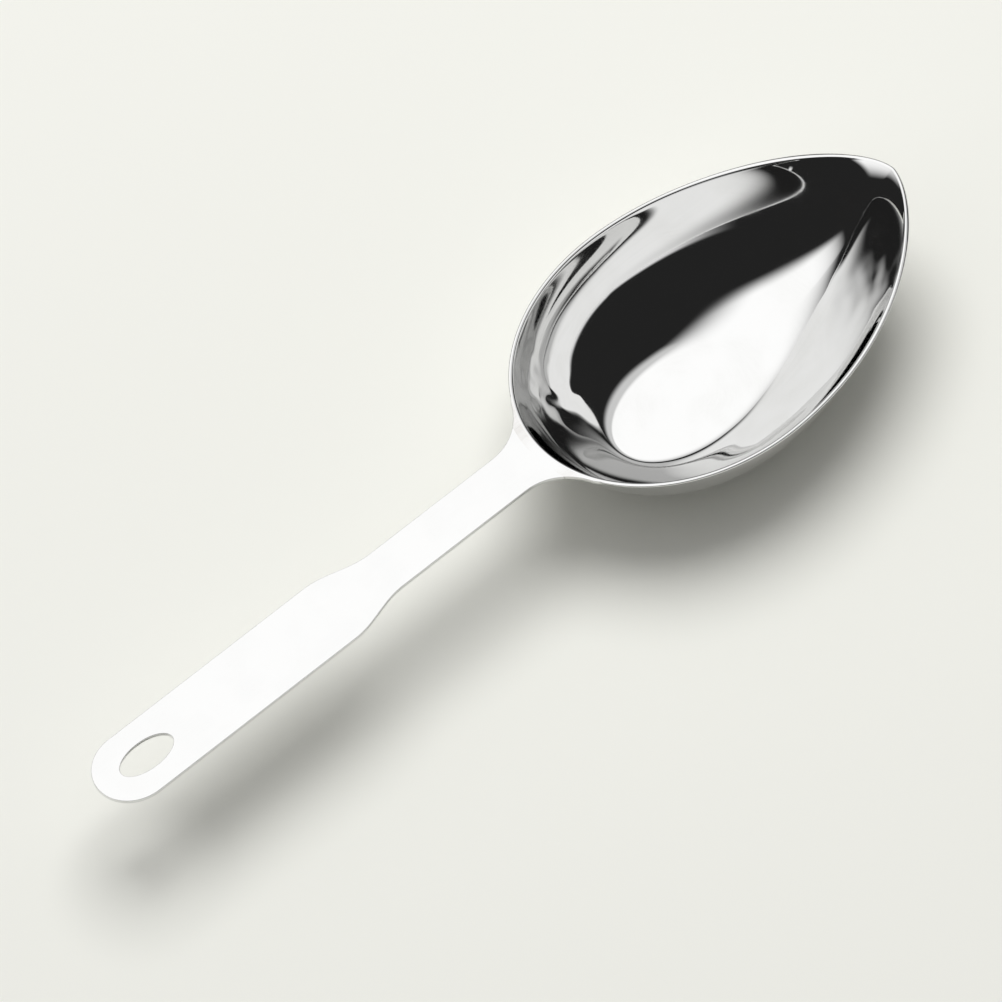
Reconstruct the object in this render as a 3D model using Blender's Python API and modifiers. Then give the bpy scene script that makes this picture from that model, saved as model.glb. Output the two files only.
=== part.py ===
"""Sugar scoop: a pear-shaped stainless bowl with a pouring tip, and a flat strap handle.

Metres, +Z up. The scoop stands on the flat of its bowl. The origin lies in that flat, under
the bowl's widest place.
+X runs along the handle towards the pouring tip, and the scoop is symmetric about y = 0.
"""

import math

import bmesh
import bpy
from mathutils import Vector

# Sheet and joint
SHEET = 0.0012
JOINT_CLEARANCE = 0.0003
WELD_WIDTH = 0.0012
WELD_CROWN = 0.0004
WELD_END_WIDTH = 0.0005

# Bowl, seen from above: a half ellipse behind its widest place and a pointed nose in front
BOWL_WIDTH = 0.0762
BOWL_BACK_LENGTH = 0.0504
BOWL_NOSE_LENGTH = 0.069
NOSE_LENGTH_POWER = 1.93
NOSE_WIDTH_POWER = 1.6

# Bowl, seen from the side: the rim is level, and turns up over the pouring tip
BOWL_DEPTH = 0.0306
TIP_RISE = 0.0042
TIP_RISE_START = 0.0231

# Flat that the bowl stands on, an ellipse whose centre lies behind the widest place
FLAT_LENGTH = 0.0413
FLAT_WIDTH = 0.0239
FLAT_BEHIND_WIDEST = 0.0023

# Wall section at the sides, the tip and the handle. Between the rim and the flat, four points
# pull the wall into shape. Each is a share of the way in to the flat and of the way down.
SIDE_PULLS = ((0.087, 0.366), (0.125, 0.712), (0.706, 0.769), (0.726, 1.0))
TIP_PULLS = ((0.113, 0.091), (0.22, 0.431), (0.292, 0.639), (0.6, 1.0))
BACK_PULLS = ((0.175, 0.304), (0.353, 0.68), (0.691, 0.759), (0.849, 1.0))
TIP_BLEND_POWER = 1.2
BACK_BLEND_POWER = 2.76
RIM_ROUNDING = 0.0003

# Handle
HANDLE_LENGTH = 0.1462
GRIP_WIDTH = 0.0193
NECK_WIDTH = 0.0124
END_CAP_LENGTH = 0.0112
SHOULDER_FROM_END = 0.0762
SHOULDER_LENGTH = 0.0189
ROOT_FILLET = 0.0159
HANDLE_ROUNDING = 0.00045

# Hang hole
HOLE_LENGTH = 0.0165
HOLE_WIDTH = 0.0078
HOLE_FROM_END = 0.0155

# Steps of the curves
STEPS_AROUND_RIM = 96
STEPS_DOWN_WALL = 16
STEPS_ALONG_WELD = 28
STEPS_PER_ARC = 12
STEPS_AROUND_HOLE = 40

# Places that follow from the sizes
HANDLE_END_X = -BOWL_BACK_LENGTH - HANDLE_LENGTH
RIM_Z = BOWL_DEPTH
WELD_OUTER = JOINT_CLEARANCE + WELD_WIDTH
HANDLE_SETBACK = WELD_OUTER + JOINT_CLEARANCE

STEEL_COLOR = (0.78, 0.78, 0.77, 1.0)
WELD_COLOR = (0.7, 0.7, 0.69, 1.0)


def clear_scene():
    for scene_object in list(bpy.data.objects):
        bpy.data.objects.remove(scene_object, do_unlink=True)


def make_collection(name):
    collection = bpy.data.collections.new(name)
    bpy.context.scene.collection.children.link(collection)
    return collection


def make_material(name, color, roughness):
    material = bpy.data.materials.new(name)
    material.use_nodes = True
    shader = material.node_tree.nodes["Principled BSDF"]
    shader.inputs["Base Color"].default_value = color
    shader.inputs["Roughness"].default_value = roughness
    shader.inputs["Metallic"].default_value = 1.0
    return material


def add_object(name, mesh, collection, material=None):
    new_object = bpy.data.objects.new(name, mesh)
    collection.objects.link(new_object)
    if material:
        mesh.materials.append(material)
    return new_object


def shade_round(mesh, angle_degrees=30.0):
    mesh.shade_smooth()
    mesh.set_sharp_from_angle(angle=math.radians(angle_degrees))


def signed_power(value, power):
    return math.copysign(abs(value) ** power, value)


def rim_point(turn):
    """Outer edge of the rim, seen from above. Turn 0 is the tip, pi is the handle side."""
    along = math.cos(turn)
    across = math.sin(turn)
    half_width = BOWL_WIDTH / 2
    if along < 0:
        return BOWL_BACK_LENGTH * along, half_width * across
    nose = BOWL_NOSE_LENGTH * signed_power(along, 2 / NOSE_LENGTH_POWER)
    return nose, half_width * signed_power(across, 2 / NOSE_WIDTH_POWER)


def rim_height(x):
    rise_length = BOWL_NOSE_LENGTH - TIP_RISE_START
    part_way = max(0.0, x - TIP_RISE_START) / rise_length
    return RIM_Z + TIP_RISE * part_way ** 2


def back_of_rim_offset(turn, offset):
    """A point that lies outside the rim's half ellipse, at a distance square to it."""
    x, y = rim_point(turn)
    normal_x = math.cos(turn) / BOWL_BACK_LENGTH
    normal_y = math.sin(turn) / (BOWL_WIDTH / 2)
    length = math.hypot(normal_x, normal_y)
    return x + offset * normal_x / length, y + offset * normal_y / length


def blend(side, tip, back, rim_x):
    """A value that changes smoothly from the widest place to the tip and to the handle side."""
    towards_tip = (max(0.0, rim_x) / BOWL_NOSE_LENGTH) ** TIP_BLEND_POWER
    towards_back = (max(0.0, -rim_x) / BOWL_BACK_LENGTH) ** BACK_BLEND_POWER
    return side + (tip - side) * towards_tip + (back - side) * towards_back


def pulled_point(pulls, share):
    """The point at a share of the Bezier curve that these points pull into shape."""
    while len(pulls) > 1:
        pulls = [first.lerp(second, share) for first, second in zip(pulls, pulls[1:])]
    return pulls[0]


def bowl_column(turn):
    """The outer wall from the rim down to the flat, at one place around the rim."""
    rim_x, rim_y = rim_point(turn)
    direction = math.atan2(rim_y, rim_x + FLAT_BEHIND_WIDEST)
    rim = Vector((rim_x, rim_y, rim_height(rim_x)))
    foot_x = FLAT_LENGTH / 2 * math.cos(direction) - FLAT_BEHIND_WIDEST
    foot = Vector((foot_x, FLAT_WIDTH / 2 * math.sin(direction), 0.0))
    pulls = [rim]
    for side, tip, back in zip(SIDE_PULLS, TIP_PULLS, BACK_PULLS):
        way_in = blend(side[0], tip[0], back[0], rim_x)
        way_down = blend(side[1], tip[1], back[1], rim_x)
        pull = rim.lerp(foot, way_in)
        pull.z = rim.z * (1 - way_down)
        pulls.append(pull)
    pulls.append(foot)
    return [pulled_point(pulls, step / STEPS_DOWN_WALL) for step in range(STEPS_DOWN_WALL + 1)]


def bowl_skin():
    """The bowl's outer surface, open at the rim, with its normals pointing out."""
    skin = bmesh.new()
    columns = []
    for place in range(STEPS_AROUND_RIM):
        turn = 2 * math.pi * place / STEPS_AROUND_RIM
        columns.append([skin.verts.new(point) for point in bowl_column(turn)])
    for place, column in enumerate(columns):
        next_column = columns[(place + 1) % STEPS_AROUND_RIM]
        for step in range(STEPS_DOWN_WALL):
            corners = (column[step], column[step + 1], next_column[step + 1], next_column[step])
            skin.faces.new(corners)
    flat_corners = [column[-1] for column in columns]
    skin.faces.new(reversed(flat_corners))
    mesh = bpy.data.meshes.new("bowl")
    skin.to_mesh(mesh)
    skin.free()
    return mesh


def make_bowl(collection, material):
    mesh = bowl_skin()
    shade_round(mesh)
    bowl = add_object("bowl", mesh, collection, material)
    wall = bowl.modifiers.new("sheet", "SOLIDIFY")
    wall.thickness = SHEET
    wall.offset = -1.0
    wall.use_even_offset = True
    edge = bowl.modifiers.new("rim rounding", "BEVEL")
    edge.width = RIM_ROUNDING
    edge.segments = 2
    edge.limit_method = "ANGLE"
    edge.angle_limit = math.radians(50)
    return bowl


def fillet_contact_turn():
    """Where the handle's root fillet, tangent to the neck, touches the rim's outer edge."""
    low = math.pi / 2
    high = math.pi
    for _ in range(60):
        middle = (low + high) / 2
        centre_y = back_of_rim_offset(middle, ROOT_FILLET)[1]
        if centre_y > NECK_WIDTH / 2 + ROOT_FILLET:
            low = middle
        else:
            high = middle
    return (low + high) / 2


def fillet_centre():
    return back_of_rim_offset(fillet_contact_turn(), ROOT_FILLET)


def arc_points(centre, radius, start, end):
    points = []
    for step in range(STEPS_PER_ARC + 1):
        angle = start + (end - start) * step / STEPS_PER_ARC
        x = centre[0] + radius * math.cos(angle)
        y = centre[1] + radius * math.sin(angle)
        points.append((x, y))
    return points


def handle_side():
    """The handle's outline on the +y side, from the middle of its round end to the rim."""
    points = []
    cap_centre_x = HANDLE_END_X + END_CAP_LENGTH
    for step in range(STEPS_PER_ARC + 1):
        angle = math.pi / 2 * step / STEPS_PER_ARC
        x = cap_centre_x - END_CAP_LENGTH * math.cos(angle)
        points.append((x, GRIP_WIDTH / 2 * math.sin(angle)))
    shoulder_x = HANDLE_END_X + SHOULDER_FROM_END
    for step in range(STEPS_PER_ARC + 1):
        part_way = step / STEPS_PER_ARC
        share = (1 + math.cos(math.pi * part_way)) / 2
        half_width = (NECK_WIDTH + (GRIP_WIDTH - NECK_WIDTH) * share) / 2
        points.append((shoulder_x + SHOULDER_LENGTH * part_way, half_width))
    centre = fillet_centre()
    contact = rim_point(fillet_contact_turn())
    contact_angle = math.atan2(contact[1] - centre[1], contact[0] - centre[0])
    points.extend(arc_points(centre, ROOT_FILLET, -math.pi / 2, contact_angle))
    return points


def hole_outline():
    centre_x = HANDLE_END_X + HOLE_FROM_END
    points = []
    for step in range(STEPS_AROUND_HOLE):
        angle = 2 * math.pi * step / STEPS_AROUND_HOLE
        x = centre_x + HOLE_LENGTH / 2 * math.cos(angle)
        points.append((x, HOLE_WIDTH / 2 * math.sin(angle)))
    return points


def flat_plate(name, outlines, thickness, height):
    """A plate with the given closed outlines, its middle at the given height."""
    curve = bpy.data.curves.new(name, "CURVE")
    curve.dimensions = "2D"
    curve.fill_mode = "BOTH"
    curve.extrude = thickness / 2
    for outline in outlines:
        spline = curve.splines.new("POLY")
        spline.points.add(len(outline) - 1)
        spline.use_cyclic_u = True
        for spline_point, (x, y) in zip(spline.points, outline):
            spline_point.co = (x, y, 0.0, 1.0)
    guide = bpy.data.objects.new(name + " outline", curve)
    bpy.context.scene.collection.objects.link(guide)
    guide.location.z = height
    bpy.context.view_layer.update()
    evaluated = guide.evaluated_get(bpy.context.evaluated_depsgraph_get())
    mesh = bpy.data.meshes.new_from_object(evaluated)
    mesh.transform(guide.matrix_world)
    mesh.name = name
    bpy.data.objects.remove(guide, do_unlink=True)
    bpy.data.curves.remove(curve)
    welded = bmesh.new()
    welded.from_mesh(mesh)
    bmesh.ops.remove_doubles(welded, verts=welded.verts, dist=0.00001)
    bmesh.ops.recalc_face_normals(welded, faces=welded.faces)
    welded.to_mesh(mesh)
    welded.free()
    return mesh


def make_root_cutter(collection):
    """The space that the bowl and the weld take out of the handle's root."""
    outline = []
    for step in range(STEPS_AROUND_RIM // 2 + 1):
        turn = math.pi / 2 + math.pi * step / (STEPS_AROUND_RIM // 2)
        outline.append(back_of_rim_offset(turn, HANDLE_SETBACK))
    height = RIM_Z - SHEET / 2
    mesh = flat_plate("root_cutter", [outline], SHEET * 3, height)
    cutter = add_object("root_cutter", mesh, collection)
    cutter.display_type = "WIRE"
    cutter.hide_render = True
    return cutter


def make_handle(collection, cutters, material):
    side = handle_side()
    other_side = [(x, -y) for x, y in reversed(side[1:])]
    height = RIM_Z - SHEET / 2
    mesh = flat_plate("handle", [side + other_side, hole_outline()], SHEET, height)
    shade_round(mesh)
    handle = add_object("handle", mesh, collection, material)
    edge = handle.modifiers.new("edge rounding", "BEVEL")
    edge.width = HANDLE_ROUNDING
    edge.segments = 2
    edge.limit_method = "ANGLE"
    edge.angle_limit = math.radians(50)
    root = handle.modifiers.new("root trimmed to the bowl", "BOOLEAN")
    root.operation = "DIFFERENCE"
    root.object = make_root_cutter(cutters)
    return handle


def gap_to_fillet(turn):
    """Distance, square to the rim, from its outer edge to the root fillet on that side."""
    turn_on_plus_y_side = min(turn, 2 * math.pi - turn)
    start = back_of_rim_offset(turn_on_plus_y_side, 0.0)
    ahead = back_of_rim_offset(turn_on_plus_y_side, 1.0)
    centre_x, centre_y = fillet_centre()
    step_x = ahead[0] - start[0]
    step_y = ahead[1] - start[1]
    to_centre_x = centre_x - start[0]
    to_centre_y = centre_y - start[1]
    along = to_centre_x * step_x + to_centre_y * step_y
    distance = to_centre_x ** 2 + to_centre_y ** 2
    inside = along ** 2 - distance + ROOT_FILLET ** 2
    if inside < 0:
        return math.inf
    return along - math.sqrt(inside)


def weld_end_turn():
    """Where the weld, running out along the root fillet, is down to its end width."""
    low = fillet_contact_turn()
    high = math.pi
    for _ in range(60):
        middle = (low + high) / 2
        if gap_to_fillet(middle) < JOINT_CLEARANCE + WELD_END_WIDTH:
            low = middle
        else:
            high = middle
    return (low + high) / 2


def weld_section(turn):
    """One section of the bead: flush on top, square to the rim, crowned underneath."""
    outer = min(WELD_OUTER, gap_to_fillet(turn))
    top = RIM_Z
    bottom = RIM_Z - SHEET
    middle = (JOINT_CLEARANCE + outer) / 2
    crown = WELD_CROWN * (outer - JOINT_CLEARANCE) / WELD_WIDTH
    corners = ((JOINT_CLEARANCE, top), (outer, top), (outer, bottom),
               (middle, bottom - crown), (JOINT_CLEARANCE, bottom))
    section = []
    for offset, height in corners:
        x, y = back_of_rim_offset(turn, offset)
        section.append((x, y, height))
    return section


def make_weld(collection, material):
    bead = bmesh.new()
    start = weld_end_turn()
    end = 2 * math.pi - start
    rows = []
    for step in range(STEPS_ALONG_WELD + 1):
        turn = start + (end - start) * step / STEPS_ALONG_WELD
        rows.append([bead.verts.new(point) for point in weld_section(turn)])
    for row, next_row in zip(rows, rows[1:]):
        for corner in range(len(row)):
            other = (corner + 1) % len(row)
            bead.faces.new((row[corner], row[other], next_row[other], next_row[corner]))
    bead.faces.new(rows[0])
    bead.faces.new(reversed(rows[-1]))
    bmesh.ops.recalc_face_normals(bead, faces=bead.faces)
    mesh = bpy.data.meshes.new("root_weld")
    bead.to_mesh(mesh)
    bead.free()
    shade_round(mesh)
    return add_object("root_weld", mesh, collection, material)


def build():
    clear_scene()
    scoop = make_collection("sugar_scoop")
    cutters = make_collection("cutters")
    steel = make_material("polished_steel", STEEL_COLOR, 0.08)
    handle_steel = make_material("polished_handle_steel", STEEL_COLOR, 0.12)
    weld_steel = make_material("dressed_weld_steel", WELD_COLOR, 0.2)
    make_bowl(scoop, steel)
    make_handle(scoop, cutters, handle_steel)
    make_weld(scoop, weld_steel)


build()
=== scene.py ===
"""Sugar scoop: looks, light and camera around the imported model. Metres, +Z up."""

import math

import bmesh
import bpy
from mathutils import Matrix, Vector, noise


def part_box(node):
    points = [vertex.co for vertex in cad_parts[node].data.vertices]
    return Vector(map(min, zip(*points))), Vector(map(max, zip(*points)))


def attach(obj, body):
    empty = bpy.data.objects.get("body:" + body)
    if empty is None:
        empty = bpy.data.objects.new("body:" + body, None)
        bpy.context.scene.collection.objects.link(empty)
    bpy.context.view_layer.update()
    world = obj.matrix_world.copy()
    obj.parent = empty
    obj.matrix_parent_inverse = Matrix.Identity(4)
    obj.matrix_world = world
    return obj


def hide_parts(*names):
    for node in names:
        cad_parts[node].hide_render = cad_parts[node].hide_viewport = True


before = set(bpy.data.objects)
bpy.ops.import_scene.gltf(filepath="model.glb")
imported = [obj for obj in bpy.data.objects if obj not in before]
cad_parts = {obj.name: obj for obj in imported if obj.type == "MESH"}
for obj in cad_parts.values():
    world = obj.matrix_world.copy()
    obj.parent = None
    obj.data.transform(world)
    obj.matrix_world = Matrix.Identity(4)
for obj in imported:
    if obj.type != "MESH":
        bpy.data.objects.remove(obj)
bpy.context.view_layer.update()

# Bowl
# The pear-shaped bowl, with a flat to stand on and a pouring tip. It was deep drawn from one
# blank of stainless sheet, which left it faintly uneven, and puckered at the back and beside the
# tip. The trimmed edge is dressed round, and the steel is mirror polished inside and out.
handle_low, handle_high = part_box("handle")
rim_z = handle_high.z
sheet = handle_high.z - handle_low.z
bowl_half_width = 0.0381
bowl_back_length = 0.0504
bowl_nose_length = 0.069
nose_length_power = 1.93
nose_width_power = 1.6
tip_rise = 0.0042
tip_rise_start = 0.0231
flat_half_length = 0.02065
flat_half_width = 0.01195
flat_centre_x = -0.0023
side_pulls = ((0.087, 0.366), (0.125, 0.712), (0.706, 0.769), (0.726, 1.0))
tip_pulls = ((0.113, 0.091), (0.22, 0.431), (0.292, 0.639), (0.6, 1.0))
back_pulls = ((0.175, 0.304), (0.353, 0.68), (0.691, 0.759), (0.849, 1.0))
tip_blend_power = 1.2
back_blend_power = 2.76
edge_rounding = 0.00058
steps_around = 384
steps_down = 96
steps_over_edge = 6
steepest_trim = 0.5
squareness_at_tip = 0.94
turn_nudge = 0.002
share_nudge = 0.001
inner_step = 0.002
inner_step_limit = 0.3
clear_of_edge = 0.0002
wave_length = 0.011
wave_height = 0.00002
puckers = ((-0.0316, 0.0207), (0.0482, -0.015))
pucker_reach = 0.0075
pucker_length = 0.005
pucker_height = 0.00022


def signed_power(value, power):
    return math.copysign(abs(value) ** power, value)


def rim_point(turn):
    """Outer edge of the rim, seen from above. Turn 0 is the tip, pi the handle."""
    along = math.cos(turn)
    across = math.sin(turn)
    if along < 0:
        return Vector((bowl_back_length * along, bowl_half_width * across, 0))
    return Vector((bowl_nose_length * signed_power(along, 2 / nose_length_power),
                   bowl_half_width * signed_power(across, 2 / nose_width_power), 0))


def rim_facing(turn):
    """The level direction in which the rim faces outwards."""
    along = math.cos(turn)
    across = math.sin(turn)
    if along < 0:
        return Vector((along / bowl_back_length, across / bowl_half_width, 0)).normalized()
    point = rim_point(turn)
    to_tip = max(0.0, point.x) / bowl_nose_length
    to_side = abs(point.y) / bowl_half_width
    forward = nose_length_power * to_tip ** (nose_length_power - 1) / bowl_nose_length
    sideways = nose_width_power * to_side ** (nose_width_power - 1) / bowl_half_width
    return Vector((forward, math.copysign(sideways, point.y), 0)).normalized()


def by_place(side, tip, back, rim_x):
    """A value that changes smoothly from the widest place to the tip and to the handle."""
    towards_tip = (max(0.0, rim_x) / bowl_nose_length) ** tip_blend_power
    towards_back = (max(0.0, -rim_x) / bowl_back_length) ** back_blend_power
    return side + (tip - side) * towards_tip + (back - side) * towards_back


def wall_curve(turn):
    """The six Bezier points of the outer wall, from the rim down to the flat."""
    rim = rim_point(turn)
    up_the_tip = max(0.0, rim.x - tip_rise_start) / (bowl_nose_length - tip_rise_start)
    rim.z = rim_z + tip_rise * up_the_tip ** 2
    direction = math.atan2(rim.y, rim.x - flat_centre_x)
    foot = Vector((flat_centre_x + flat_half_length * math.cos(direction),
                   flat_half_width * math.sin(direction), 0))
    points = [rim]
    for side, tip, back in zip(side_pulls, tip_pulls, back_pulls):
        point = rim.lerp(foot, by_place(side[0], tip[0], back[0], rim.x))
        point.z = rim.z * (1 - by_place(side[1], tip[1], back[1], rim.x))
        points.append(point)
    return points + [foot]


def wall_point(curve, share):
    """The point at a share of the Bezier curve."""
    last = len(curve) - 1
    place = Vector()
    for step, point in enumerate(curve):
        place += point * (math.comb(last, step) * (1 - share) ** (last - step) * share ** step)
    return place


def wall_inward(curves, share):
    """The direction from the outer face through the sheet to the inner face."""
    before, curve, after = curves
    around = wall_point(after, share) - wall_point(before, share)
    down = wall_point(curve, share + share_nudge) - wall_point(curve, share - share_nudge)
    return around.cross(down).normalized()


def drawing_wave(point):
    """How far in drawing has moved the sheet: faintly all over, and more where it puckered."""
    wave = wave_height * (1 + noise.noise(point / wave_length))
    for x, y in puckers:
        distance = math.hypot(point.x - x, point.y - y) / pucker_reach
        ripple = noise.noise(point / pucker_length)
        wave += pucker_height * math.exp(-distance ** 2) * ripple
    return wave


def bent_point(start, corner, end, share):
    """The point at a share of a bend that rounds off a corner."""
    rest = 1 - share
    return start * rest ** 2 + corner * 2 * rest * share + end * share ** 2


def bowl_section(turn):
    """Right through the sheet: up the outer wall, over the dressed edge and down inside.

    The edge is cut level, and square to the sheet only where the tip flares out."""
    curves = [wall_curve(turn + nudge) for nudge in (-turn_nudge, 0, turn_nudge)]
    curve = curves[1]
    down = (curve[1] - curve[0]).normalized()
    outer_corner = curve[0]
    level_cut = rim_facing(turn) * -sheet / max(steepest_trim, -down.z)
    square_cut = wall_inward(curves, share_nudge) * sheet
    to_tip = (max(0.0, outer_corner.x) / bowl_nose_length) ** 2
    cut = level_cut.lerp(square_cut, squareness_at_tip * to_tip)
    inner_corner = outer_corner + cut
    across = cut.normalized()
    first_share = edge_rounding / ((len(curve) - 1) * (curve[1] - curve[0]).length)
    outer = []
    for step in range(steps_down + 1):
        share = first_share + (1 - first_share) * step / steps_down
        point = wall_point(curve, share)
        outer.append(point + wall_inward(curves, share) * drawing_wave(point))
    inner_top = inner_corner + down * edge_rounding
    inner_share = first_share
    while inner_share < inner_step_limit:
        inner_share += inner_step
        point = wall_point(curve, inner_share) + wall_inward(curves, inner_share) * sheet
        if (point - inner_top).dot(down) > clear_of_edge:
            break
    inner = [inner_top]
    for step in range(steps_down):
        share = inner_share + (1 - inner_share) * step / (steps_down - 1)
        point = wall_point(curve, share)
        inner.append(point + wall_inward(curves, share) * (sheet + drawing_wave(point)))
    outer_top = outer_corner + across * edge_rounding
    inner_edge = inner_corner - across * edge_rounding
    over = [bent_point(outer[0], outer_corner, outer_top, step / steps_over_edge)
            for step in range(1, steps_over_edge + 1)]
    over += [bent_point(inner_edge, inner_corner, inner_top, step / steps_over_edge)
             for step in range(steps_over_edge)]
    return outer[::-1] + over + inner


def drawn_bowl():
    """The bowl's mesh, from sections side by side all the way round."""
    skin = bmesh.new()
    columns = []
    for place in range(steps_around):
        section = bowl_section(2 * math.pi * place / steps_around)
        columns.append([skin.verts.new(point) for point in section])
    for place, column in enumerate(columns):
        beside = columns[(place + 1) % steps_around]
        for step in range(len(column) - 1):
            skin.faces.new((column[step], beside[step], beside[step + 1], column[step + 1]))
    skin.faces.new([column[0] for column in reversed(columns)])
    skin.faces.new([column[-1] for column in columns])
    mesh = bpy.data.meshes.new("drawn_bowl")
    skin.to_mesh(mesh)
    skin.free()
    mesh.shade_smooth()
    return mesh


def join(tree, value, socket):
    tree.links.new(value, socket)


def math_node(tree, operation, first, second):
    node = tree.nodes.new("ShaderNodeMath")
    node.operation = operation
    for socket, value in zip(node.inputs, (first, second)):
        if isinstance(value, (int, float)):
            socket.default_value = value
        else:
            join(tree, value, socket)
    return node.outputs[0]


hairline_detail = 3
patch_scale = 85
patch_detail = 2
haze_starts = 0.42
haze_is_full = 0.68


def polishing_marks():
    """Hairlines and hazy patches that polishing leaves. The place is stretched along them."""
    tree = bpy.data.node_groups.new("polishing_marks", "ShaderNodeTree")
    for name, kind in (("Stretched place", "NodeSocketVector"), ("Place", "NodeSocketVector"),
                       ("Bright steel", "NodeSocketColor"), ("Hazy steel", "NodeSocketColor"),
                       ("Smoothest", "NodeSocketFloat"), ("Roughest", "NodeSocketFloat")):
        tree.interface.new_socket(name, in_out="INPUT", socket_type=kind)
    for name, kind in (("Colour", "NodeSocketColor"), ("Roughness", "NodeSocketFloat"),
                       ("Height", "NodeSocketFloat")):
        tree.interface.new_socket(name, in_out="OUTPUT", socket_type=kind)
    given = tree.nodes.new("NodeGroupInput").outputs
    result = tree.nodes.new("NodeGroupOutput").inputs
    hairlines = tree.nodes.new("ShaderNodeTexNoise")
    hairlines.inputs["Scale"].default_value = 1
    hairlines.inputs["Detail"].default_value = hairline_detail
    join(tree, given["Stretched place"], hairlines.inputs["Vector"])
    patches = tree.nodes.new("ShaderNodeTexNoise")
    patches.inputs["Scale"].default_value = patch_scale
    patches.inputs["Detail"].default_value = patch_detail
    join(tree, given["Place"], patches.inputs["Vector"])
    haze = tree.nodes.new("ShaderNodeMapRange")
    haze.interpolation_type = "SMOOTHSTEP"
    haze.inputs["From Min"].default_value = haze_starts
    haze.inputs["From Max"].default_value = haze_is_full
    join(tree, patches.outputs["Fac"], haze.inputs["Value"])
    dull = math_node(tree, "MULTIPLY", hairlines.outputs["Fac"], haze.outputs["Result"])
    tint = tree.nodes.new("ShaderNodeMix")
    tint.data_type = "RGBA"
    join(tree, dull, tint.inputs["Factor"])
    join(tree, given["Bright steel"], tint.inputs["A"])
    join(tree, given["Hazy steel"], tint.inputs["B"])
    spread = math_node(tree, "SUBTRACT", given["Roughest"], given["Smoothest"])
    added = math_node(tree, "MULTIPLY", spread, dull)
    join(tree, tint.outputs["Result"], result["Colour"])
    join(tree, math_node(tree, "ADD", given["Smoothest"], added), result["Roughness"])
    join(tree, hairlines.outputs["Fac"], result["Height"])
    return tree


def polished_steel(name, bright, hazy, smoothest, roughest, line_height):
    """A steel with polishing marks. Returns the material, its marks and the place in metres."""
    steel = bpy.data.materials.new(name)
    steel.use_nodes = True
    tree = steel.node_tree
    shader = tree.nodes["Principled BSDF"]
    shader.inputs["Metallic"].default_value = 1
    marks = tree.nodes.new("ShaderNodeGroup")
    marks.node_tree = marks_group
    marks.inputs["Bright steel"].default_value = bright
    marks.inputs["Hazy steel"].default_value = hazy
    marks.inputs["Smoothest"].default_value = smoothest
    marks.inputs["Roughest"].default_value = roughest
    place = tree.nodes.new("ShaderNodeTexCoord").outputs["Object"]
    join(tree, place, marks.inputs["Place"])
    lines = tree.nodes.new("ShaderNodeBump")
    lines.inputs["Strength"].default_value = 1
    lines.inputs["Distance"].default_value = line_height
    join(tree, marks.outputs["Height"], lines.inputs["Height"])
    join(tree, marks.outputs["Colour"], shader.inputs["Base Color"])
    join(tree, marks.outputs["Roughness"], shader.inputs["Roughness"])
    join(tree, lines.outputs["Normal"], shader.inputs["Normal"])
    return steel, marks, place


def vector_node(tree, operation, first, second=None):
    node = tree.nodes.new("ShaderNodeVectorMath")
    node.operation = operation
    join(tree, first, node.inputs[0])
    if isinstance(second, tuple):
        node.inputs[1].default_value = second
    elif second is not None:
        join(tree, second, node.inputs[1])
    return node.outputs


bright_steel = (0.78, 0.78, 0.775, 1)
around_stretch = (3, 3, 0)
rings_per_metre = 3000
marks_group = polishing_marks()
bowl_steel, bowl_marks, bowl_place = polished_steel(
    "mirror_polished_bowl_steel", bright=bright_steel, hazy=(0.74, 0.74, 0.73, 1),
    smoothest=0.03, roughest=0.08, line_height=2e-7)
bowl_tree = bowl_steel.node_tree
level = vector_node(bowl_tree, "MULTIPLY", bowl_place, (1, 1, 0))[0]
heading_out = vector_node(bowl_tree, "NORMALIZE", level)[0]
round_the_bowl = vector_node(bowl_tree, "MULTIPLY", heading_out, around_stretch)[0]
height = bowl_tree.nodes.new("ShaderNodeSeparateXYZ")
join(bowl_tree, bowl_place, height.inputs[0])
reach = vector_node(bowl_tree, "LENGTH", level)["Value"]
down_the_wall = math_node(bowl_tree, "ADD", reach, height.outputs["Z"])
ring = bowl_tree.nodes.new("ShaderNodeCombineXYZ")
join(bowl_tree, math_node(bowl_tree, "MULTIPLY", down_the_wall, rings_per_metre),
     ring.inputs["Z"])
rings = vector_node(bowl_tree, "ADD", round_the_bowl, ring.outputs[0])[0]
join(bowl_tree, rings, bowl_marks.inputs["Stretched place"])

bowl = bpy.data.objects.new("drawn_bowl", drawn_bowl())
bpy.context.scene.collection.objects.link(bowl)
bowl.data.materials.append(bowl_steel)
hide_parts("bowl")
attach(bowl, "root")

# Handle
# The flat strap handle, blanked from stainless strip of the same gauge: a grip with a round
# end and an oval hang hole, a narrower neck, and a root that spreads to the bowl in two
# fillets. Its edges are dressed round, and its faces are polished lengthwise.
handle_length = 0.1462
grip_half_width = 0.00965
neck_half_width = 0.0062
end_cap_length = 0.0112
shoulder_from_end = 0.0762
shoulder_length = 0.0189
root_fillet = 0.0159
handle_rounding = 0.00056
rounding_segments = 5
edge_angle = math.radians(50)
hole_half_length = 0.00825
hole_half_width = 0.0039
hole_from_end = 0.0155
root_from_rim = 0.0018
weld_inner = -0.0005
run_out_turn = 0.11
run_out_depth = 0.0007
inside_rim = 0.0018
arc_steps = 36
hole_steps = 96
rim_steps = 96
halvings = 60
same_point = 1e-6
straight_within = math.radians(0.5)
truly_flat = 0.99999
handle_end_x = -bowl_back_length - handle_length


def beside_rim(turn, distance):
    """The point at a distance outside the rim, or inside it if the distance is negative."""
    point = rim_point(turn) + rim_facing(turn) * distance
    return Vector((point.x, point.y))


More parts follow.
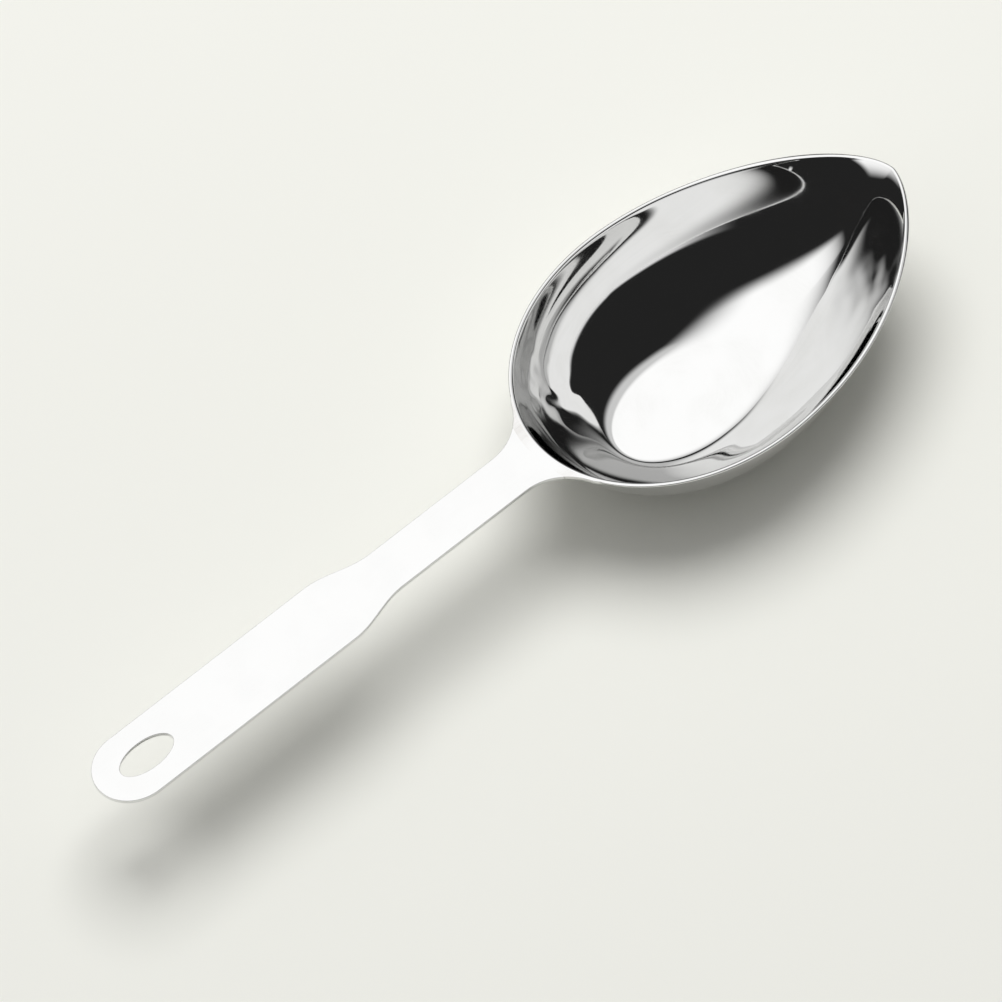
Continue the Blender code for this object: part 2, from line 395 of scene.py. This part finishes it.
def fillet_turn():
    """Where a root fillet, tangent to the neck, touches the rim."""
    low = math.pi / 2
    high = math.pi
    for _ in range(halvings):
        middle = (low + high) / 2
        if beside_rim(middle, root_fillet).y > neck_half_width + root_fillet:
            low = middle
        else:
            high = middle
    return middle


def handle_side():
    """The outline on the +Y side, from the middle of the round end to under the rim."""
    points = []
    for step in range(arc_steps + 1):
        angle = math.pi / 2 * step / arc_steps
        x = handle_end_x + end_cap_length * (1 - math.cos(angle))
        points.append((x, grip_half_width * math.sin(angle)))
    for step in range(arc_steps + 1):
        share = step / arc_steps
        wide = (1 + math.cos(math.pi * share)) / 2
        x = handle_end_x + shoulder_from_end + shoulder_length * share
        points.append((x, neck_half_width + (grip_half_width - neck_half_width) * wide))
    touch = fillet_turn()
    centre = beside_rim(touch, root_fillet)
    contact = beside_rim(touch, 0)
    last = math.atan2(contact.y - centre.y, contact.x - centre.x)
    for step in range(arc_steps + 1):
        angle = -math.pi / 2 + (last + math.pi / 2) * step / arc_steps
        points.append((centre.x + root_fillet * math.cos(angle),
                       centre.y + root_fillet * math.sin(angle)))
    for step in range(1, arc_steps + 1):
        share = step / arc_steps
        points.append(tuple(beside_rim(touch - run_out_turn * share,
                                       -run_out_depth * share ** 2)))
    for step in range(arc_steps + 1):
        start = touch - run_out_turn
        turn = start + (math.pi - start) * step / arc_steps
        points.append(tuple(beside_rim(turn, -inside_rim)))
    return points


def hole_outline():
    points = []
    for step in range(hole_steps):
        angle = 2 * math.pi * step / hole_steps
        points.append((handle_end_x + hole_from_end + hole_half_length * math.cos(angle),
                       hole_half_width * math.sin(angle)))
    return points


def rim_outline(distance):
    """The half ellipse of the bowl's back, at a distance outside the rim."""
    return [tuple(beside_rim(math.pi / 2 + math.pi * step / rim_steps, distance))
            for step in range(rim_steps + 1)]


def flat_plate(name, outlines, thickness):
    """A plate with these closed outlines, as thick as asked, about the middle of the sheet."""
    curve = bpy.data.curves.new(name, "CURVE")
    curve.dimensions = "2D"
    curve.fill_mode = "BOTH"
    curve.extrude = thickness / 2
    for outline in outlines:
        spline = curve.splines.new("POLY")
        spline.points.add(len(outline) - 1)
        spline.use_cyclic_u = True
        for spline_point, (x, y) in zip(spline.points, outline):
            spline_point.co = (x, y, 0, 1)
    guide = bpy.data.objects.new(name, curve)
    bpy.context.scene.collection.objects.link(guide)
    bpy.context.view_layer.update()
    mesh = bpy.data.meshes.new_from_object(guide)
    mesh.transform(Matrix.Translation((0, 0, rim_z - sheet / 2)))
    bpy.data.objects.remove(guide)
    bpy.data.curves.remove(curve)
    welded = bmesh.new()
    welded.from_mesh(mesh)
    bmesh.ops.remove_doubles(welded, verts=welded.verts, dist=same_point)
    bmesh.ops.dissolve_limit(welded, angle_limit=straight_within, verts=welded.verts,
                             edges=[edge for edge in welded.edges
                                    if edge.verts[0].co.z == edge.verts[1].co.z])
    bmesh.ops.recalc_face_normals(welded, faces=welded.faces)
    welded.to_mesh(mesh)
    welded.free()
    plate = bpy.data.objects.new(name, mesh)
    bpy.context.scene.collection.objects.link(plate)
    return plate


def add_modifier(piece, name, kind, **settings):
    modifier = piece.modifiers.new(name, kind)
    for setting, value in settings.items():
        setattr(modifier, setting, value)


def applied(piece):
    """The piece with its modifiers worked into its mesh."""
    bpy.context.view_layer.update()
    finished = piece.evaluated_get(bpy.context.evaluated_depsgraph_get())
    mesh = bpy.data.meshes.new_from_object(finished)
    piece.modifiers.clear()
    piece.data = mesh
    return piece


def dress(piece, steel):
    """Smooth shading on the rounded edges only, so that the flat faces stay true mirrors."""
    for face in piece.data.polygons:
        face.use_smooth = abs(face.normal.z) < truly_flat
    piece.data.materials.append(steel)


def strap(name):
    """The whole strap, dressed round at its edges, with its root running under the rim."""
    side = handle_side()
    outline = side + [(x, -y) for x, y in reversed(side[1:-1])]
    plate = flat_plate(name, [outline, hole_outline()], sheet)
    add_modifier(plate, "dressed edges", "BEVEL", width=handle_rounding,
                 segments=rounding_segments, limit_method="ANGLE", angle_limit=edge_angle)
    return applied(plate)


def trimmed(plate, operation, distance):
    """The plate, less or only what lies within a distance outside the rim."""
    cutter = flat_plate("trim", [rim_outline(distance)], sheet * 3)
    add_modifier(plate, "trim", "BOOLEAN", operation=operation, object=cutter)
    applied(plate)
    bpy.data.objects.remove(cutter)
    return plate


lengthwise_stretch = (60, 4000, 4000)
handle_steel, handle_marks, handle_place = polished_steel(
    "lengthwise_polished_handle_steel", bright=bright_steel, hazy=(0.76, 0.76, 0.755, 1),
    smoothest=0.03, roughest=0.07, line_height=2e-7)
handle_tree = handle_steel.node_tree
lengthwise = vector_node(handle_tree, "MULTIPLY", handle_place, lengthwise_stretch)[0]
join(handle_tree, lengthwise, handle_marks.inputs["Stretched place"])

handle = trimmed(strap("strap_handle"), "DIFFERENCE", root_from_rim)
dress(handle, handle_steel)
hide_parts("handle")
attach(handle, "root")

# Root weld
# The weld bead that joins the handle's root to the bowl's back. It was laid underneath, where
# it still shows its ripples, and dressed flush on top, where it is polished like the handle.
bead_crown = 0.00042
bead_width = 0.0019
bead_start = -0.0002
bead_ripple = 0.00085
ripple_height = 0.12
ripple_bend = 0.35
end_bluntness = 10
into_the_root = 0.00004
bead_turn_step = 0.002
stations = 200
points_across = 12


def bead_turn():
    """Where the root has become wide enough, beyond the fillet, to cover the bead."""
    centre = beside_rim(fillet_turn(), root_fillet)
    turn = fillet_turn()
    while (beside_rim(turn, bead_width) - centre).length < root_fillet + handle_rounding:
        turn += bead_turn_step
    return turn


weld = trimmed(trimmed(strap("root_weld_bead"), "INTERSECT", root_from_rim), "DIFFERENCE",
               weld_inner)
bead = bmesh.new()
bead.from_mesh(weld.data)
bead_rows = []
first_turn = bead_turn()
for station in range(stations + 1):
    share = station / stations
    turn = first_turn + 2 * (math.pi - first_turn) * share
    run = (turn - math.pi) * bowl_half_width
    ends = math.sqrt(max(0.0, 1 - (2 * share - 1) ** end_bluntness))
    row = []
    for across in range(points_across + 1):
        side = 2 * across / points_across - 1
        ripple = math.cos(2 * math.pi * (run / bead_ripple + ripple_bend * side ** 2))
        drop = bead_crown * (1 - side ** 2) * (1 - ripple_height + ripple_height * ripple) * ends
        place = beside_rim(turn, bead_start + bead_width / 2 * (1 + side * ends))
        row.append(bead.verts.new((place.x, place.y, rim_z - sheet - drop + into_the_root)))
    bead_rows.append(row)
for row, after in zip(bead_rows, bead_rows[1:]):
    for across in range(points_across):
        bead.faces.new((row[across], row[across + 1], after[across + 1], after[across]))
    bead.faces.new((row[-1], row[0], after[0], after[-1]))
bmesh.ops.recalc_face_normals(bead, faces=bead.faces)
bead.to_mesh(weld.data)
bead.free()

weld_steel, weld_marks, weld_place = polished_steel(
    "dressed_weld_steel", bright=bright_steel, hazy=(0.68, 0.66, 0.63, 1),
    smoothest=0.03, roughest=0.4, line_height=1e-6)
weld_tree = weld_steel.node_tree
join(weld_tree, vector_node(weld_tree, "MULTIPLY", weld_place, lengthwise_stretch)[0],
     weld_marks.inputs["Stretched place"])
dress(weld, weld_steel)
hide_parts("root_weld")
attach(weld, "root")

# Floor
# A wide plain studio floor in matt pale paint, on which the scoop stands and throws its
# shadow. It reaches far enough that its edge stays out of the picture.
floor_half = 6.0
floor_colour = (0.9, 0.9, 0.845, 1)
floor_roughness = 0.9
floor_gloss = 0.1
floor_mesh = bpy.data.meshes.new("studio_floor")
floor_mesh.from_pydata([(-floor_half, -floor_half, 0), (floor_half, -floor_half, 0),
                        (floor_half, floor_half, 0), (-floor_half, floor_half, 0)],
                       [], [(0, 1, 2, 3)])
floor = bpy.data.objects.new("studio_floor", floor_mesh)
bpy.context.scene.collection.objects.link(floor)
floor_paint = bpy.data.materials.new("studio_floor_paint")
floor_paint.use_nodes = True
floor_shader = floor_paint.node_tree.nodes["Principled BSDF"]
floor_shader.inputs["Base Color"].default_value = floor_colour
floor_shader.inputs["Roughness"].default_value = floor_roughness
floor_shader.inputs["Specular IOR Level"].default_value = floor_gloss
floor_mesh.materials.append(floor_paint)

# Camera
# It looks down on the scoop at the photograph's angle, from so far away that lengths hardly
# shrink with distance. A point behind the bowl's widest place is put where the photograph has it.
heading = math.radians(42.03)
height_angle = math.radians(59)
camera_distance = 10.0
pixels_per_metre = 4030
image_pixels = 1002
image_middle = 501
seen_right = 659.0
seen_down = 359.1
pixels_behind_widest = 42.0
nearer_middle = 0.02
sensor_width = 36
camera_right = Vector((math.cos(heading), -math.sin(heading), 0))
away = Vector((math.sin(heading), math.cos(heading), 0))
to_camera = Vector((0, 0, math.sin(height_angle))) - away * math.cos(height_angle)
camera_up = to_camera.cross(camera_right)
behind_widest = Vector((-pixels_behind_widest / pixels_per_metre, 0, rim_z))
middle = (behind_widest + camera_right * ((image_middle - seen_right) / pixels_per_metre)
          - camera_up * ((image_middle - seen_down) / pixels_per_metre)
          + to_camera * nearer_middle)
camera_data = bpy.data.cameras.new("camera")
camera_data.sensor_width = sensor_width
camera_data.lens = sensor_width * camera_distance * pixels_per_metre / image_pixels
camera = bpy.data.objects.new("camera", camera_data)
bpy.context.scene.collection.objects.link(camera)
camera.matrix_world = Matrix.Translation(middle + to_camera * camera_distance) @ Matrix(
    (camera_right, camera_up, to_camera)).transposed().to_4x4()
bpy.context.scene.camera = camera
bpy.context.scene.view_settings.view_transform = "Standard"

# Studio light
# A darkened room with one big softbox overhead, a round fill light high up beyond the scoop, a
# low strip of light to the right, and a tiny glint on the camera's side. All are held back from
# matt surfaces, so that the floor gets most of its light, and its shadow, from the key lamp.
softbox_strength = 1.24
fill_strength = 0.72
strip_strength = 0.95
glint_strength = 0.85
room_strength = 0.02
held_from_matt = 0.45
least_upwards = 0.001
key_size = 1.6
key_watts = 29
key_distance = 2.0
world = bpy.data.worlds.new("soft_studio")
bpy.context.scene.world = world
world.use_nodes = True
sky = world.node_tree
sky.nodes.clear()
sky_out = sky.nodes.new("ShaderNodeOutputWorld")
background = sky.nodes.new("ShaderNodeBackground")
background.inputs["Color"].default_value = (1, 1, 1, 1)
join(sky, background.outputs[0], sky_out.inputs[0])
direction = sky.nodes.new("ShaderNodeTexCoord").outputs["Generated"]


def sky_direction(azimuth, elevation):
    """A direction by its angle from straight away to the right, and its angle upwards."""
    level_way = (away * math.cos(math.radians(azimuth))
                 + camera_right * math.sin(math.radians(azimuth)))
    return (level_way * math.cos(math.radians(elevation))
            + Vector((0, 0, math.sin(math.radians(elevation)))))


def soft_step(value, none, full):
    """A mask that goes smoothly from 0 at one value to 1 at the other."""
    fall = sky.nodes.new("ShaderNodeMapRange")
    fall.interpolation_type = "SMOOTHSTEP"
    join(sky, value, fall.inputs["Value"])
    fall.inputs["From Min"].default_value = none
    fall.inputs["From Max"].default_value = full
    return fall.outputs["Result"]


def sky_slope(level_way, upwards):
    """How far a direction leans along a level way, as a share of its height."""
    lean = vector_node(sky, "DOT_PRODUCT", direction, tuple(level_way))["Value"]
    return math_node(sky, "DIVIDE", lean, upwards)


def panel_side(slope, across, edge, skew, soft):
    """A mask past a straight panel edge at a slope, or before it if the softness is negative."""
    past = math_node(sky, "SUBTRACT", slope, math_node(sky, "MULTIPLY", across, skew))
    return soft_step(past, edge - soft, edge + soft)


def round_light(azimuth, elevation, inner, outer):
    """A mask that is 1 within an angle of a direction, and falls to 0 at an outer angle."""
    facing = vector_node(sky, "DOT_PRODUCT", direction,
                         tuple(sky_direction(azimuth, elevation)))["Value"]
    return soft_step(facing, math.cos(math.radians(outer)), math.cos(math.radians(inner)))


def strip_light(azimuth, inner, outer, full_below, none_above):
    """A mask of a low strip around a level direction, from the horizon up."""
    level_part = vector_node(sky, "MULTIPLY", direction, (1, 1, 0))[0]
    heading_part = vector_node(sky, "NORMALIZE", level_part)[0]
    facing = vector_node(sky, "DOT_PRODUCT", heading_part,
                         tuple(sky_direction(azimuth, 0)))["Value"]
    around = soft_step(facing, math.cos(math.radians(outer)), math.cos(math.radians(inner)))
    upward = soft_step(split.outputs["Z"], math.sin(math.radians(none_above)),
                       math.sin(math.radians(full_below)))
    return math_node(sky, "MULTIPLY", around, upward)


split = sky.nodes.new("ShaderNodeSeparateXYZ")
join(sky, direction, split.inputs[0])
upwards = math_node(sky, "MAXIMUM", split.outputs["Z"], least_upwards)
rightwards = sky_slope(camera_right, upwards)
backwards = sky_slope(away, upwards)
panel_right = panel_side(rightwards, backwards, edge=0.279, skew=0.026, soft=-0.267)
panel_near = panel_side(backwards, rightwards, edge=-0.807, skew=0.624, soft=0.239)
panel_left = panel_side(rightwards, backwards, edge=-1.7, skew=0, soft=1.1)
panel_far = panel_side(backwards, rightwards, edge=1.745, skew=0, soft=-1.05)
panel = math_node(sky, "MULTIPLY", math_node(sky, "MULTIPLY", panel_right, panel_near),
                  math_node(sky, "MULTIPLY", panel_left, panel_far))
softbox = math_node(sky, "MULTIPLY", panel, softbox_strength)
fill = round_light(azimuth=21, elevation=60, inner=22, outer=40)
side_fill = math_node(sky, "MULTIPLY", fill, fill_strength)
strip = strip_light(azimuth=108, inner=20, outer=59, full_below=14, none_above=17)
low_strip = math_node(sky, "MULTIPLY", strip, strip_strength)
glint = strip_light(azimuth=180, inner=0, outer=1, full_below=1, none_above=3)
low_glint = math_node(sky, "MULTIPLY", glint, glint_strength)
light = math_node(sky, "MAXIMUM", math_node(sky, "MAXIMUM", softbox, side_fill),
                  math_node(sky, "MAXIMUM", low_strip, low_glint))
bounced = sky.nodes.new("ShaderNodeLightPath").outputs["Is Diffuse Ray"]
held_back = math_node(sky, "SUBTRACT", 1, math_node(sky, "MULTIPLY", bounced, held_from_matt))
strength = math_node(sky, "MULTIPLY", math_node(sky, "ADD", light, room_strength), held_back)
join(sky, strength, background.inputs["Strength"])

key_data = bpy.data.lights.new("key_lamp", "AREA")
key_data.shape = "DISK"
key_data.size = key_size
key_data.energy = key_watts
key = bpy.data.objects.new("key_lamp", key_data)
key_direction = sky_direction(azimuth=-15, elevation=68)
key.matrix_world = Matrix.Translation(key_direction * key_distance) @ (
    key_direction.to_track_quat("Z", "Y").to_matrix().to_4x4())
key.visible_glossy = False
bpy.context.scene.collection.objects.link(key)
